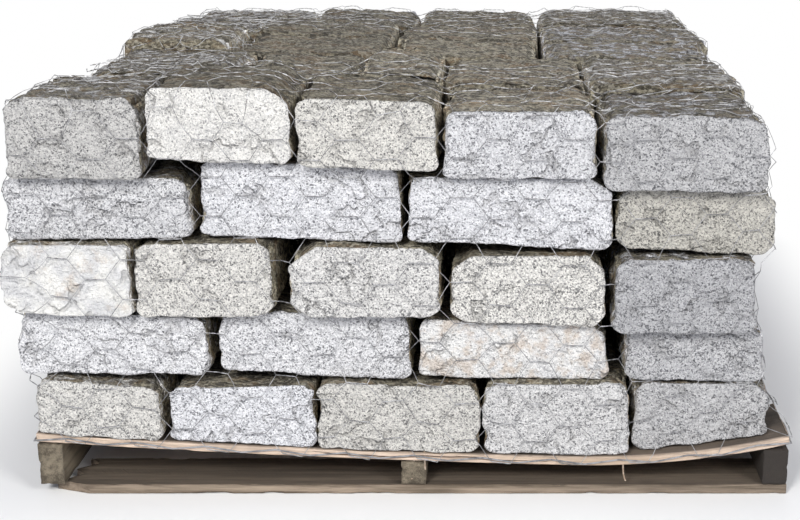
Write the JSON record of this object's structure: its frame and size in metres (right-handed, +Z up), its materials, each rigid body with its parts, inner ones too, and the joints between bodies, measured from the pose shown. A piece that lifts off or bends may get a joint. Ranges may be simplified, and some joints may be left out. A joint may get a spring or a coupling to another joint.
{
  "type": "pallet of granite paving stones",
  "caption": "Low timber pallet loaded with dry-stacked courses of rough-hewn granite setts, with the edge wire of its netting wrap round the deck.",
  "frame": {"origin": "on the floor, at the middle of the pallet's width and length, under the middle bottom board", "axes": "+X along the front to the right, +Y from the front (the stringers' ends) to the back, +Z up"},
  "size_m": [1.047, 1.2267, 0.5597],
  "materials": {
    "granite": "split rough, light grey with black specks, dusty",
    "stringer_timber": "rough sawn, weathered, dirty",
    "bottom_board_timber": "rough sawn, weathered grey brown",
    "deck_board_timber": "rough sawn softwood, pinkish tan",
    "galvanised_wire": "galvanised, dull grey"
  },
  "bodies": {
    "root": {"course_1_row_1": "granite", "course_1_row_2": "granite", "course_1_row_3": "granite", "course_1_row_4": "granite", "course_1_row_5": "granite", "course_2_row_1": "granite", "course_2_row_2": "granite", "course_2_row_3": "granite", "course_2_row_4": "granite", "course_2_row_5": "granite", "course_3_row_1": "granite", "course_3_row_2": "granite", "course_3_row_3": "granite", "course_3_row_4": "granite", "course_3_row_5": "granite", "course_4_row_1": "granite", "course_4_row_2": "granite", "course_4_row_3": "granite", "course_4_row_4": "granite", "course_4_row_5": "granite", "course_5_row_1": "granite", "course_5_row_2": "granite", "course_5_row_3": "granite", "course_5_row_4": "granite", "course_5_row_5": "granite", "stringer_left": "stringer_timber", "stringer_middle": "stringer_timber", "stringer_right": "stringer_timber", "bottom_board_front": "bottom_board_timber", "bottom_board_middle": "bottom_board_timber", "bottom_board_back": "bottom_board_timber", "deck_board_1": "deck_board_timber", "deck_board_2": "deck_board_timber", "deck_board_3": "deck_board_timber", "deck_board_4": "deck_board_timber", "deck_board_5": "deck_board_timber", "deck_board_6": "deck_board_timber", "deck_board_7": "deck_board_timber", "netting_selvage": "galvanised_wire"}
  },
  "joints": []
}
